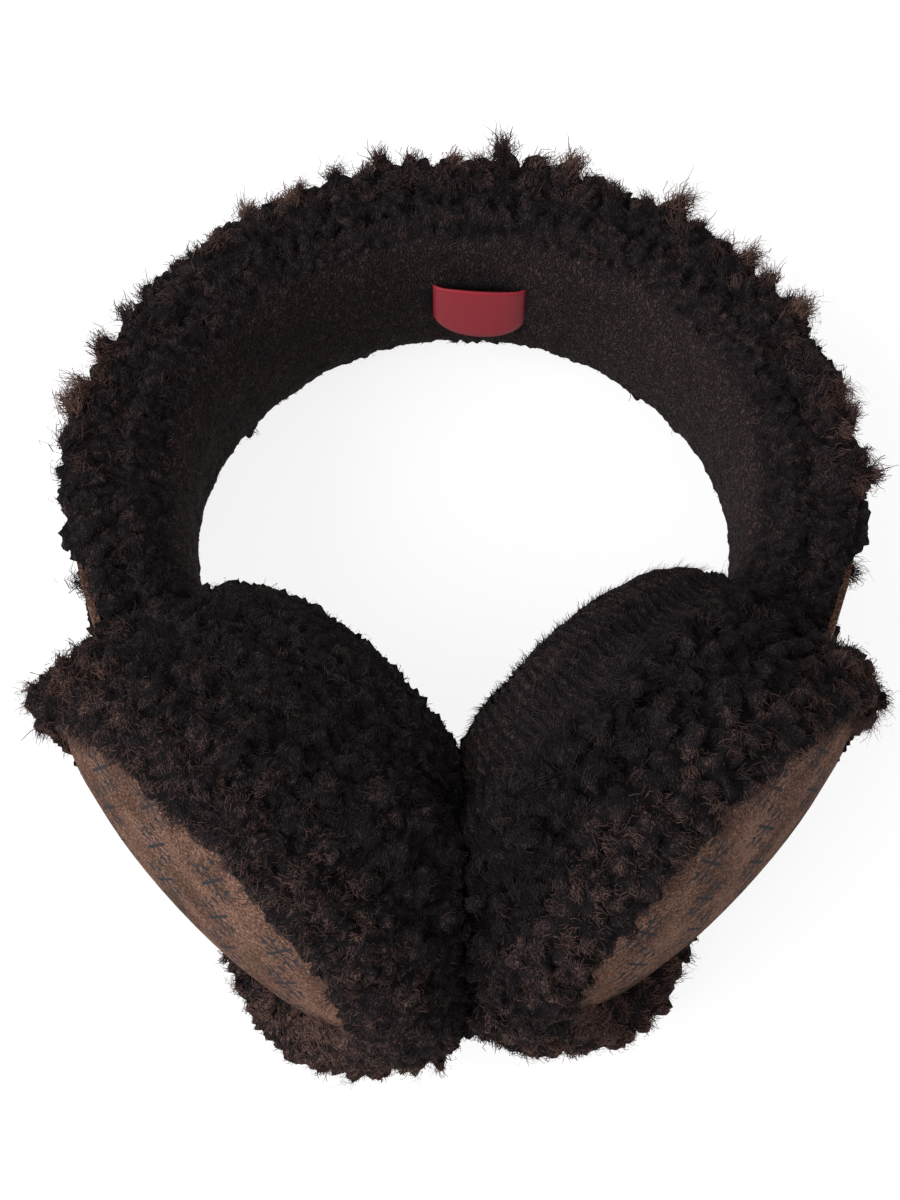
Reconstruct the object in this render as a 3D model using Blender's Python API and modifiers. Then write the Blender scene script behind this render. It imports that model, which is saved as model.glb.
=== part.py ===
"""Shearling earmuffs lying on their back edge: a wool-lined suede headband and two round ear cups.

The pieces are modelled in the plane of the headband's arch: X to the wearer's side, Y towards the crown, Z across
the band. An empty then tilts that plane until the cups and the crown rest on the floor, which is Z = 0.
Lengths are in metres and angles in degrees.
"""

import math
import random

import bmesh
import bpy
from mathutils import Matrix, Vector

# Headband: its outer face is half an ellipse that runs on past the widest point, down to the cups.
BAND_HALF_WIDTH = 0.0940
BAND_CROWN_HEIGHT = 0.0965
BAND_END_ANGLE = 36.0
POCKET_FROM_ANGLE = 12.0
STRIP_WIDTH = 0.040
BAND_PILE = 0.0245
BAND_OVERHANG = 0.0035
BAND_LIP = 0.0020

# Tongue: the plain end of the headband, which is held inside a cup.
TONGUE_LENGTH = 0.006
TONGUE_WIDTH = 0.030
TONGUE_PILE = 0.0085
TONGUE_OVERHANG = 0.0012
FADE_LENGTH = 0.010

# Ear cups: a domed suede panel, a deep wool rim behind it, and a low wool cushion on the ear side.
CUP_TURN = 46.5
CUP_SET_OUT = 0.0130
CUP_HOLD = 0.0150
PANEL_RADIUS = 0.046
PANEL_DOME = 0.005
RIM_RADIUS = 0.0520
RIM_DEPTH = 0.042
RIM_LEAN = 0.008
RIM_TUCK = 0.014
RIM_DROOP = 0.014
EAR_RADIUS = 0.0440
EAR_DOME = 0.014

# Woven label on the crown's inner face.
LABEL_LENGTH = 0.026
LABEL_ASIDE = 0.0035
LABEL_WIDTH = 0.017
LABEL_WALL = 0.0008

# Suede, wool locks and fits.
SUEDE_WALL = 0.0016
LOCK_PITCH = 0.0078
DEEP_LOCK = 0.0042
SHORT_LOCK = 0.0016
FLOOR_PRESS = 0.0050
FIT_GAP = 0.0004
CUP_TOUCH_GAP = 0.0006

# How far a lock's length, its lean and its feet vary, as shares of its nominal length.
LOCK_VARIATION = 0.35
LOCK_LEAN = 0.40
FOOT_VARIATION = 0.30

# The longest that a lock grows, as a share of the width of the face that it grows from.
LONGEST_LOCK = 0.65

# Where each cup has come to lie against its mirrored place: both a little to the left, the left one lower.
CUPS = (
    {"name": "left", "side": -1, "aside": -0.0008, "drop": 0.0022, "seed": 11},
    {"name": "right", "side": 1, "aside": -0.0008, "drop": -0.0022, "seed": 12},
)

# Half of the headband wool's section, from the strip's edge round to the middle of the inner face.
# pile: share of the pile's depth; lip: share of the lip's rise; width: share of the strip's half width;
# overhang: share of the overhang; lock: share of the deep lock's length that grows from the next stretch.
BAND_SECTION = (
    {"pile": 0.00, "lip": 0.00, "width": 1.00, "overhang": 0.12, "lock": 0.00},
    {"pile": 0.00, "lip": 1.00, "width": 1.00, "overhang": 0.30, "lock": 0.45},
    {"pile": 0.06, "lip": 0.80, "width": 1.00, "overhang": 0.85, "lock": 0.90},
    {"pile": 0.36, "lip": 0.00, "width": 1.00, "overhang": 1.15, "lock": 1.00},
    {"pile": 0.70, "lip": 0.00, "width": 1.00, "overhang": 0.90, "lock": 0.70},
    {"pile": 0.93, "lip": 0.00, "width": 0.88, "overhang": 0.00, "lock": 0.42},
    {"pile": 1.00, "lip": 0.00, "width": 0.44, "overhang": 0.00, "lock": 0.42},
    {"pile": 1.00, "lip": 0.00, "width": 0.00, "overhang": 0.00, "lock": 0.00},
)

# Profile of a cup's wool rim outside the suede panel, from the panel's edge round to the ear side.
# flare: share of the way from the panel's radius to the rim's; depth: share of the rim's depth;
# lock: share of the deep lock's length that grows from the next stretch.
RIM_PROFILE = (
    {"flare": 0.07, "depth": 0.04, "lock": 0.00},
    {"flare": 0.14, "depth": -0.06, "lock": 0.60},
    {"flare": 0.62, "depth": -0.04, "lock": 0.90},
    {"flare": 0.95, "depth": 0.12, "lock": 1.00},
    {"flare": 1.00, "depth": 0.32, "lock": 1.00},
    {"flare": 1.00, "depth": 0.52, "lock": 1.00},
    {"flare": 1.00, "depth": 0.73, "lock": 0.90},
    {"flare": 0.80, "depth": 0.92, "lock": 0.40},
)

# Profile of the ear cushion: shares of its radius and of its dome's height, from its seat's edge to its middle.
EAR_PROFILE = (
    {"radius": 0.95, "rise": 0.00},
    {"radius": 1.00, "rise": 0.18},
    {"radius": 0.97, "rise": 0.42},
    {"radius": 0.88, "rise": 0.66},
    {"radius": 0.73, "rise": 0.84},
    {"radius": 0.55, "rise": 0.94},
    {"radius": 0.36, "rise": 0.99},
    {"radius": 0.18, "rise": 1.00},
    {"radius": 0.00, "rise": 1.00},
)

WIDEST_OVERHANG = max(row["overhang"] for row in BAND_SECTION)

MATERIALS = {
    "wool": {"colour": (0.030, 0.019, 0.016), "roughness": 0.95},
    "suede": {"colour": (0.120, 0.066, 0.045), "roughness": 0.90},
    "label": {"colour": (0.300, 0.030, 0.045), "roughness": 0.60},
}

PANEL_RINGS = 5
PANEL_SEGMENTS = 40
LABEL_STEPS = 10
MERGE_DISTANCE = 1e-5
SHARP_EDGE_ANGLE = 40.0
FEWEST_SEGMENTS = 12
CUTTER_REACH = 0.4


def clear_scene():
    for obj in list(bpy.data.objects):
        bpy.data.objects.remove(obj)


def make_collection(name):
    collection = bpy.data.collections.new(name)
    bpy.context.scene.collection.children.link(collection)
    return collection


def make_material(name):
    look = MATERIALS[name]
    material = bpy.data.materials.new(name)
    material.use_nodes = True
    shader = material.node_tree.nodes["Principled BSDF"]
    shader.inputs["Base Color"].default_value = (*look["colour"], 1.0)
    shader.inputs["Roughness"].default_value = look["roughness"]
    shader.inputs["Metallic"].default_value = 0.0
    return material


def object_from(bm, name, collection, material=None, parent=None):
    mesh = bpy.data.meshes.new(name)
    bm.to_mesh(mesh)
    bm.free()
    obj = bpy.data.objects.new(name, mesh)
    collection.objects.link(obj)
    if material:
        mesh.materials.append(material)
    obj.parent = parent
    return obj


def bake(obj):
    """Works the object's modifiers into its mesh."""
    bpy.context.view_layer.update()
    graph = bpy.context.evaluated_depsgraph_get()
    mesh = bpy.data.meshes.new_from_object(obj.evaluated_get(graph))
    obj.modifiers.clear()
    obj.data = mesh


def cut(obj, cutter):
    modifier = obj.modifiers.new("Cut by " + cutter.name, "BOOLEAN")
    modifier.operation = "DIFFERENCE"
    modifier.solver = "EXACT"
    modifier.object = cutter


def thicken(obj, wall):
    modifier = obj.modifiers.new("Wall", "SOLIDIFY")
    modifier.thickness = wall
    modifier.offset = 0
    modifier.use_even_offset = True


def mirror_across_x(obj):
    modifier = obj.modifiers.new("Other half", "MIRROR")
    modifier.use_axis = (True, False, False)
    modifier.merge_threshold = MERGE_DISTANCE


def mix(low, high, share):
    return low + (high - low) * share


def smooth_step(value):
    share = min(1.0, max(0.0, value))
    return share * share * (3 - 2 * share)


def raise_lock(bm, face, length, rng):
    """Draws one face out into a leaning lock of wool that stays fused to the face's own edges."""
    normal = face.normal.copy()
    side = normal.orthogonal().normalized()
    side.rotate(Matrix.Rotation(rng.uniform(0, 2 * math.pi), 3, normal))
    grown = length * (1 + rng.uniform(-LOCK_VARIATION, LOCK_VARIATION))
    tip = bmesh.ops.poke(bm, faces=[face])["verts"][0]
    tip.co += normal * grown + side * grown * rng.uniform(0, LOCK_LEAN)


def grow_locks(bm, wanted, rng):
    """Grows a lock on each face that wants one, after moving the locks' shared feet a little off their grid."""
    bmesh.ops.recalc_face_normals(bm, faces=bm.faces)
    lengths = {}
    for face, length in wanted.items():
        width = face.calc_area() / max(edge.calc_length() for edge in face.edges)
        lengths[face] = min(length, LONGEST_LOCK * width)
    for vertex in bm.verts:
        shortest = min(lengths.get(face, 0.0) for face in vertex.link_faces)
        if shortest and not vertex.is_boundary:
            reach = shortest * FOOT_VARIATION
            vertex.co += Vector([rng.uniform(-reach, reach) for _ in range(3)])
    bm.normal_update()
    for face, length in lengths.items():
        raise_lock(bm, face, length, rng)
    bmesh.ops.recalc_face_normals(bm, faces=bm.faces)


def band_frame(angle):
    """The point of the headband's outer face at that angle from the X axis, and its inward direction."""
    turn = math.radians(angle)
    point = Vector((BAND_HALF_WIDTH * math.cos(turn), BAND_CROWN_HEIGHT * math.sin(turn), 0))
    inward = -Vector((math.cos(turn) / BAND_HALF_WIDTH, math.sin(turn) / BAND_CROWN_HEIGHT, 0))
    return point, inward.normalized()


def band_angles(first, last, pitch):
    """Angles from first down to last, about one pitch of arc apart."""
    radius = (BAND_HALF_WIDTH + BAND_CROWN_HEIGHT) / 2
    steps = max(2, round(math.radians(first - last) * radius / pitch))
    return [mix(first, last, i / steps) for i in range(steps + 1)]


def fullness(angle):
    """0 on the tongue, rising to 1 where the wool has its full depth."""
    radius = (BAND_HALF_WIDTH + BAND_CROWN_HEIGHT) / 2
    from_end = math.radians(angle + BAND_END_ANGLE) * radius
    return smooth_step((from_end - TONGUE_LENGTH) / FADE_LENGTH)


def strip_half_width(angle):
    return mix(TONGUE_WIDTH, STRIP_WIDTH, fullness(angle)) / 2


def swept_strip(angles, depth, half_width_at):
    """An open surface that follows the headband at that depth under its outer face."""
    bm = bmesh.new()
    rows = []
    for angle in angles:
        point, inward = band_frame(angle)
        middle = point + inward * depth
        half = half_width_at(angle)
        rows.append([bm.verts.new(middle + Vector((0, 0, z))) for z in (-half, 0, half)])
    for row, following in zip(rows, rows[1:]):
        for i in range(len(row) - 1):
            bm.faces.new((row[i], row[i + 1], following[i + 1], following[i]))
    bmesh.ops.recalc_face_normals(bm, faces=bm.faces)
    return bm


def band_ring(angle):
    """The wool's closed section at that angle, as points."""
    full = fullness(angle)
    pile = mix(TONGUE_PILE, BAND_PILE, full)
    overhang = mix(TONGUE_OVERHANG, BAND_OVERHANG, full)
    half_width = strip_half_width(angle)
    point, inward = band_frame(angle)
    wool_starts = SUEDE_WALL + FIT_GAP
    half = []
    for row in BAND_SECTION:
        rise = row["lip"] * full * (BAND_LIP + wool_starts)
        depth = wool_starts + row["pile"] * pile - rise
        half.append((depth, row["width"] * half_width + row["overhang"] * overhang))
    lower = [(depth, -width) for depth, width in half[:-1]]
    return [point + inward * depth + Vector((0, 0, z)) for depth, z in half + lower[::-1]]


def loft(rings):
    """Quads between closed rings of points. The first ring stays open and the last is closed by a face."""
    bm = bmesh.new()
    rows = [[bm.verts.new(point) for point in ring] for ring in rings]
    strips = []
    for row, following in zip(rows, rows[1:]):
        count = len(row)
        strips.append([
            bm.faces.new((row[i], row[(i + 1) % count], following[(i + 1) % count], following[i]))
            for i in range(count)
        ])
    bm.faces.new(rows[-1])
    return bm, strips


def label_middle():
    """The label's angle and the radius of the inner face that it follows."""
    radius = BAND_CROWN_HEIGHT - SUEDE_WALL - FIT_GAP - BAND_PILE
    return 90 - math.degrees(LABEL_ASIDE / radius), radius


def under_label(angle):
    """True where the label, or the stretch of wool beside it, lies on the inner face on either side."""
    middle, radius = label_middle()
    reach = (LABEL_LENGTH / 2 + LOCK_PITCH / 2) / radius
    return math.radians(90 - angle) < reach + math.radians(90 - middle)


def make_band_suede(collection, material, root):
    angles = band_angles(90, -BAND_END_ANGLE, LOCK_PITCH)
    bm = swept_strip(angles, SUEDE_WALL / 2, strip_half_width)
    strip = object_from(bm, "headband_suede", collection, material, root)
    mirror_across_x(strip)
    thicken(strip, SUEDE_WALL)
    return strip


def make_band_wool(collection, material, root):
    """The headband's deep wool: a lofted backing with a lock on every exposed face, mirrored at the crown."""
    rng = random.Random(4)
    angles = band_angles(90, -BAND_END_ANGLE, LOCK_PITCH)
    bm, strips = loft([band_ring(angle) for angle in angles])
    count = len(BAND_SECTION)
    shares = [row["lock"] for row in BAND_SECTION[:-1]]
    shares += shares[::-1] + [0.0]
    inner = (count - 3, count - 2, count - 1, count)
    lengths = {}
    for angle, strip in zip(angles[1:], strips):
        for i, (face, share) in enumerate(zip(strip, shares)):
            if share * fullness(angle) and not (i in inner and under_label(angle)):
                lengths[face] = DEEP_LOCK * share * fullness(angle)
    grow_locks(bm, lengths, rng)
    wool = object_from(bm, "headband_wool", collection, material, root)
    mirror_across_x(wool)
    return wool


def make_label(collection, material, root):
    """The woven label, which follows the crown's inner face."""
    middle, radius = label_middle()
    depth = BAND_CROWN_HEIGHT - radius + FIT_GAP + LABEL_WALL / 2
    reach = math.degrees(LABEL_LENGTH / 2 / radius)
    angles = [mix(middle + reach, middle - reach, i / LABEL_STEPS) for i in range(LABEL_STEPS + 1)]
    bm = swept_strip(angles, depth, lambda angle: LABEL_WIDTH / 2)
    label = object_from(bm, "woven_label", collection, material, root)
    thicken(label, LABEL_WALL)
    return label


def cup_place(cup):
    """A cup's frame: Z out through the suede panel, Y towards the headband, X across the arch's plane.

    The panel's edge lies CUP_SET_OUT outside the headband's end, which the rim holds to a depth of CUP_HOLD.
    """
    turn = math.radians(CUP_TURN)
    side = cup["side"]
    outward = Vector((side * math.cos(turn), -math.sin(turn), 0))
    to_band = Vector((side * math.sin(turn), math.cos(turn), 0))
    end, _ = band_frame(-BAND_END_ANGLE)
    centre = Vector((side * end.x, end.y, 0)) + outward * CUP_SET_OUT - to_band * (RIM_RADIUS - CUP_HOLD)
    place = Matrix((to_band.cross(outward), to_band, outward)).transposed().to_4x4()
    place.translation = centre + Vector((cup["aside"], -cup["drop"], 0))
    return place


def panel_height(radius):
    """The suede panel's outer face: nearly flat in the middle and falling away to its edge."""
    return PANEL_DOME * (1 - (radius / PANEL_RADIUS) ** 3)


def panel_profile(inset):
    """Points (radius, height) from the axis to the panel's edge, moved under the face by inset."""
    points = []
    for i in range(PANEL_RINGS + 1):
        radius = PANEL_RADIUS * i / PANEL_RINGS
        slope = -3 * PANEL_DOME * radius**2 / PANEL_RADIUS**3
        length = math.hypot(slope, 1)
        points.append((radius + inset * slope / length, panel_height(radius) - inset / length))
    return points


def turned(profile, segments):
    """A profile of (radius, height) points turned round the Z axis. A point on the axis becomes one vertex."""
    bm = bmesh.new()
    rings = []
    for radius, height in profile:
        turns = [2 * math.pi * i / segments for i in range(segments if radius > MERGE_DISTANCE else 1)]
        rings.append([bm.verts.new((radius * math.cos(t), radius * math.sin(t), height)) for t in turns])
    for ring, following in zip(rings, rings[1:]):
        for i in range(segments):
            pairs = ((ring, i), (ring, i + 1), (following, i + 1), (following, i))
            corners = [vertices[place % len(vertices)] for vertices, place in pairs]
            bm.faces.new(list(dict.fromkeys(corners)))
    bmesh.ops.recalc_face_normals(bm, faces=bm.faces)
    return bm


def ring_segments(radius):
    return max(FEWEST_SEGMENTS, round(2 * math.pi * radius / LOCK_PITCH))


def lock_lengths(bm, profile, lengths):
    """The lock's length for each face that was turned from a stretch of the profile that has one."""
    stretches = []
    for (first, following), length in zip(zip(profile, profile[1:]), lengths):
        stretches.append((Vector(first).lerp(Vector(following), 0.5), length))
    found = {}
    for face in bm.faces:
        centre = face.calc_center_median()
        flat = Vector((math.hypot(centre.x, centre.y), centre.z))
        _, length = min(stretches, key=lambda stretch: (stretch[0] - flat).length)
        if length:
            found[face] = length
    return found


def settle_rim(bm, up):
    """Leans the rim's flare out over the panel's upper edge, back behind its lower edge, and down at its end."""
    still = max(PANEL_RADIUS, EAR_RADIUS)
    for vertex in bm.verts:
        radius = math.hypot(vertex.co.x, vertex.co.y)
        share = min(1.0, max(0.0, (radius - still) / (RIM_RADIUS - still)))
        height = up * vertex.co.x / RIM_RADIUS
        vertex.co.z += share * height * (RIM_LEAN if height > 0 else RIM_TUCK)
        vertex.co.y += share * RIM_DROOP * min(0.0, vertex.co.y / RIM_RADIUS)


def make_cup_suede(cup, collection, material, root):
    bm = turned(panel_profile(SUEDE_WALL / 2), PANEL_SEGMENTS)
    panel = object_from(bm, cup["name"] + "_cup_suede", collection, material, root)
    panel.matrix_local = cup_place(cup)
    thicken(panel, SUEDE_WALL)
    return panel


def make_rim_wool(cup, collection, material, root):
    """The deep wool round and behind the panel, with a flat seat for the ear cushion."""
    seat = panel_profile(SUEDE_WALL + FIT_GAP)
    outside = [
        (mix(PANEL_RADIUS, RIM_RADIUS, row["flare"]), -row["depth"] * RIM_DEPTH)
        for row in RIM_PROFILE
    ]
    ear_seat = [(EAR_RADIUS, -RIM_DEPTH), (0, -RIM_DEPTH)]
    profile = seat + outside + ear_seat
    lengths = [0.0] * len(seat)
    lengths += [row["lock"] * DEEP_LOCK for row in RIM_PROFILE] + [0.0]
    bm = turned(profile, ring_segments(RIM_RADIUS))
    locks = lock_lengths(bm, profile, lengths)
    place = cup_place(cup)
    settle_rim(bm, place.to_3x3().col[0].z)
    grow_locks(bm, locks, random.Random(cup["seed"]))
    rim = object_from(bm, cup["name"] + "_rim_wool", collection, material, root)
    rim.matrix_local = place
    return rim


def make_ear_wool(cup, collection, material, root):
    """The low wool cushion that lies against the ear."""
    back = -RIM_DEPTH - FIT_GAP
    dome = [
        (row["radius"] * EAR_RADIUS, back - row["rise"] * EAR_DOME)
        for row in EAR_PROFILE
    ]
    profile = [(0, back)] + dome
    lengths = [0.0, 0.0] + [SHORT_LOCK] * (len(dome) - 2)
    bm = turned(profile, ring_segments(EAR_RADIUS))
    grow_locks(bm, lock_lengths(bm, profile, lengths), random.Random(cup["seed"] + 10))
    ear = object_from(bm, cup["name"] + "_ear_wool", collection, material, root)
    ear.matrix_local = cup_place(cup)
    return ear


def pocket_ring(angle):
    """The room that a cup's wool leaves round the headband at that angle: a box round its section and locks."""
    full = fullness(angle)
    lock_room = DEEP_LOCK * (1 + LOCK_VARIATION + FOOT_VARIATION) * full
    half_width = strip_half_width(angle) + mix(TONGUE_OVERHANG, BAND_OVERHANG, full) * WIDEST_OVERHANG
    half_width += lock_room + FIT_GAP
    outer = -FIT_GAP - BAND_LIP * full - lock_room
    inner = SUEDE_WALL + FIT_GAP + mix(TONGUE_PILE, BAND_PILE, full) + lock_room + FIT_GAP
    point, inward = band_frame(angle)
    corners = ((outer, half_width), (inner, half_width), (inner, -half_width), (outer, -half_width))
    return [point + inward * depth + Vector((0, 0, z)) for depth, z in corners]


def make_pocket_cutter(side, collection, root):
    """What that side's cup leaves free for the headband's end."""
    end_play = math.degrees(FIT_GAP / BAND_HALF_WIDTH)
    angles = [angle for angle in band_angles(90, -BAND_END_ANGLE, LOCK_PITCH) if angle < POCKET_FROM_ANGLE]
    angles.append(-BAND_END_ANGLE - end_play)
    rings = [[Vector((side * p.x, p.y, p.z)) for p in pocket_ring(angle)] for angle in angles]
    bm, _ = loft(rings)
    bmesh.ops.holes_fill(bm, edges=bm.edges)
    bmesh.ops.recalc_face_normals(bm, faces=bm.faces)
    return helper(bm, "band_pocket", collection, root)


def helper(bm, name, collection, root):
    cutter = object_from(bm, name, collection, parent=root)
    cutter.hide_render = True
    cutter.display_type = "WIRE"
    return cutter


def box_cutter(name, low, high, collection, root=None):
    bm = bmesh.new()
    size = Vector(high) - Vector(low)
    middle = (Vector(high) + Vector(low)) / 2
    bmesh.ops.create_cube(bm, size=1, matrix=Matrix.Translation(middle) @ Matrix.Diagonal((*size, 1)))
    return helper(bm, name, collection, root)


def make_meeting_cutter(side, collection, root):
    """The space beyond the plane where the two cups press together, as seen from that side's cup."""
    meeting = sum(cup["aside"] for cup in CUPS) / len(CUPS)
    near, far = sorted((meeting + side * CUP_TOUCH_GAP / 2, -side * CUTTER_REACH))
    low = (near, -CUTTER_REACH, -CUTTER_REACH)
    high = (far, CUTTER_REACH, CUTTER_REACH)
    return box_cutter("meeting", low, high, collection, root)


def rest_on_floor(root):
    """Tilts the arch's plane until the cups' rims and the crown's wool touch Z = 0."""
    turn = math.radians(CUP_TURN)
    places = [cup_place(cup) for cup in CUPS]
    cup_y = sum(place.translation.y for place in places) / len(places) + RIM_DEPTH / 2 * math.sin(turn)
    cup_reach = RIM_RADIUS + DEEP_LOCK - FLOOR_PRESS
    crown_y = BAND_CROWN_HEIGHT - BAND_PILE / 2
    crown_reach = STRIP_WIDTH / 2 + BAND_OVERHANG + DEEP_LOCK - FLOOR_PRESS
    tilt = -math.atan2(cup_reach - crown_reach, crown_y - cup_y)
    root.rotation_euler = (tilt, 0, 0)
    root.location.z = -(cup_y * math.sin(tilt) - cup_reach * math.cos(tilt))
    bpy.context.view_layer.update()


def centre_over_origin(root, pieces):
    """Slides the earmuffs along the floor until their box is centred on the origin."""
    bpy.context.view_layer.update()
    points = [piece.matrix_world @ vertex.co for piece in pieces for vertex in piece.data.vertices]
    for axis in (0, 1):
        reach = [point[axis] for point in points]
        root.location[axis] -= (min(reach) + max(reach)) / 2
    bpy.context.view_layer.update()


def shade(piece):
    piece.data.shade_smooth()
    piece.data.set_sharp_from_angle(angle=math.radians(SHARP_EDGE_ANGLE))


def main():
    clear_scene()
    earmuffs = make_collection("earmuffs")
    cutters = make_collection("cutters")
    materials = {name: make_material(name) for name in MATERIALS}
    root = bpy.data.objects.new("earmuffs_place", None)
    earmuffs.objects.link(root)
    rest_on_floor(root)
    floor = box_cutter("floor", (-CUTTER_REACH,) * 3, (CUTTER_REACH, CUTTER_REACH, 0), cutters)

    band_suede = make_band_suede(earmuffs, materials["suede"], root)
    band_wool = make_band_wool(earmuffs, materials["wool"], root)
    cut(band_wool, floor)
    label = make_label(earmuffs, materials["label"], root)
    pieces = [band_suede, band_wool, label]
    smooth = [band_suede, label]

    for cup in CUPS:
        pocket = make_pocket_cutter(cup["side"], cutters, root)
        meeting = make_meeting_cutter(cup["side"], cutters, root)
        suede = make_cup_suede(cup, earmuffs, materials["suede"], root)
        rim_wool = make_rim_wool(cup, earmuffs, materials["wool"], root)
        ear_wool = make_ear_wool(cup, earmuffs, materials["wool"], root)
        for wool in (rim_wool, ear_wool):
            cut(wool, meeting)
            cut(wool, pocket)
            cut(wool, floor)
        pieces += [suede, rim_wool, ear_wool]
        smooth.append(suede)

    for piece in smooth:
        shade(piece)
    for piece in pieces:
        bake(piece)
    centre_over_origin(root, pieces)


main()
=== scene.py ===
"""Looks of the shearling earmuffs: grown curly wool, brushed suede, a bare woven label and a pale studio.

Lengths are in metres and angles in degrees. Arch coordinates are those of the headband's own plane: X to the
right-hand cup, Y towards the crown, Z across the band. The earmuffs lie with that plane tilted on the floor.
Cup coordinates have Z out through the cup's panel and Y towards the headband.
"""

import math

import bpy
import numpy as np
from mathutils import Matrix, Vector, noise
from mathutils.bvhtree import BVHTree
from mathutils.kdtree import KDTree


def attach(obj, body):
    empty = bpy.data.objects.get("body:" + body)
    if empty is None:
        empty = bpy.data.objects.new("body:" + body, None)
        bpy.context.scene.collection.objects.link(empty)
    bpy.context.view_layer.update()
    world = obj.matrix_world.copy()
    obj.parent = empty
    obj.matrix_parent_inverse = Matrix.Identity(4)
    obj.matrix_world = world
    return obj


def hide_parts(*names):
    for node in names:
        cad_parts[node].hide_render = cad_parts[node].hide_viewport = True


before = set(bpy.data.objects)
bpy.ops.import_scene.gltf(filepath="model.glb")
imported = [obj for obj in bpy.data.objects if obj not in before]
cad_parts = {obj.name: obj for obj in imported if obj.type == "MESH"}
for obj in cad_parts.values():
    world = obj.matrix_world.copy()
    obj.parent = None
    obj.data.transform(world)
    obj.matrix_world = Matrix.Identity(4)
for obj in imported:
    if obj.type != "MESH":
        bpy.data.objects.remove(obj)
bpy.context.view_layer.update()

# Without a seed of its own, Blender's noise starts elsewhere in each run.
NOISE_SEED = 5
noise.seed_set(NOISE_SEED)

# Where the arch's plane lies on the floor.
ARCH_TILT = -10.0606
ARCH_PLACE = (0.00111, 0.01781, 0.03707)

# Sizes in the arch's plane that steer the wool: the headband's outer ellipse, and the cups.
BAND_HALF_WIDTH = 0.0940
BAND_CROWN_HEIGHT = 0.0965
CUP_TURN = 46.5
CUP_CENTRES = {"left": (-0.05896, -0.09382), "right": (0.05736, -0.08942)}
PANEL_RADIUS = 0.046

# The photograph's camera, in arch coordinates.
CAMERA_ELEVATION = 59.5
CAMERA_DISTANCE = 0.535
CAMERA_AIM = (-0.0035, -0.0215, 0.0)
CAMERA_LENS = 66.0
CAMERA_SENSOR = 36
CAMERA_CLIP = 0.01

# The studio: one soft sun, a white world, and a pale floor that glows, so that its shadows are faint.
KEY_FROM = (-1.0, -0.35, 0.85)
KEY_STRENGTH = 3.9
KEY_ANGLE = 45
STUDIO_WHITE = (1.0, 0.995, 0.998, 1)
WORLD_STRENGTH = 1.0
FLOOR_HALF_SIZE = 4.0
FLOOR_DROP = 0.0002
FLOOR_COLOUR = (0.15, 0.15, 0.15, 1)
FLOOR_GLOW = 0.85

# The label's ribbon: where it lies, how far its edges bow out of the wool, and how its ends go down into it.
LABEL_SHIFT = 0.0010
LABEL_SHARE = 0.985
LABEL_BOW_TOP = 0.0022
LABEL_BOW_BOTTOM = 0.0035
LABEL_SUNK_TOP = 0.0008
LABEL_SUNK_BOTTOM = 0.0030
LABEL_END_DEPTH = 0.0012
LABEL_WALL = 0.0005
LABEL_COLUMNS = 33
LABEL_ROWS = 13

# Fleece: the fine closed skin under the strands, with a leaning curl under each clump.
SKIN_VOXEL = 0.00092
SKIN_SMOOTHING = 5
SKIN_SHARE = 0.34
SKIN_RISE = 0.30
EVENING_STEP = 0.6
CURL_LEAN = 0.45
CURL_RADIUS = 0.62
CURL_DIP = -0.35
FULL_CURL = 0.0008
ROUGHNESS_SCALE = 0.0013
ROUGHNESS_LIMIT = 0.0009
BILLOW_SCALE = 0.0040
WARP_SCALE = 0.0026
PLUSH_TONE = 0.46
# Painted shade in each curl's hollow and painted light on its crest, as shares of the skin's tone.
HOLLOW_PAINTED_SHADE = 0.12
CREST_PAINTED_LIGHT = 0.32

# Strands: flat tapered ribbons in small clumps.
CLUMP_WIDTH = 0.30
TRIES_PER_CLUMP = 7
ROOT_DEPTH = 0.0004
FLOOR_CLEARANCE = 0.0004
FLYAWAY_SHARE = 0.08
FLYAWAY_LONGER = 0.25
FLYAWAY_STRAIGHTER = 0.35
WANDER = 1.2
WANDER_SCALE = 0.010
STRAY = 0.5
ROOT_LEAN = 14
CURL_POWER = 1.2
SWAY = 0.30
SWAY_TURN = 4.5
SHADE_DRIFT = 0.35
SHADE_SCALE = 0.007
RIBBON_TIP = 0.4
# Painted shade and light along each strand: the tone kept at its root, deep in the fleece, and how much
# lighter its tip is painted.
RIBBON_ROOT_PAINTED_SHADE = 0.46
RIBBON_TIP_PAINTED_LIGHT = 0.38

# Tufts: where the wool stands up. They have their full effect on the strands' form from a rise of TALL_TUFT.
# A rise of TUFT_FULLER gives a clump twice its strands, and one of TUFT_LIGHTER twice its tone.
TUFT_SPACING = 0.0062
TUFT_REACH = 0.0024
TUFT_CLOSING = 0.3
TALL_TUFT = 0.004
TUFT_LENGTH = 0.62
TUFT_STRAIGHTER = 0.2
TUFT_FRIZZIER = 0.7
TUFT_WIDER = 0.45
TUFT_FULLER = 0.0005
TUFT_LIGHTER = 0.018

# Room for strands, and how much of the sky a clump sees. Clumps that see none are left out. The share of the
# strands that a clump gets grows with its sky, up to FULL_SKY, and with how curly it is.
LEAST_ROOM = 0.0015
ROOM_SHARE = 0.8
ROOM_REACH = 0.02
SIGHT_RAYS = 14
SIGHT_REACH = 0.09
SIGHT_START = 0.0022
SIGHT_LEAN = 1.05
SIGHT_FLOOR = 0.6
FULL_SKY = 0.5
LEAST_WEIGHT = 0.45
MORE_WEIGHT = 0.55

# How far single clumps and strands differ from their style, as factors from the first number to the second.
VARIETY = {
    "tuft": (0.3, 1), "bulk": (0.55, 1.35), "shade": (0.70, 1.20), "tone": (0.55, 1.0),
    "width": (0.7, 1.2), "root": (0.2, 1), "length": (0.6, 1.15), "curl": (0.75, 1.2),
}

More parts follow.
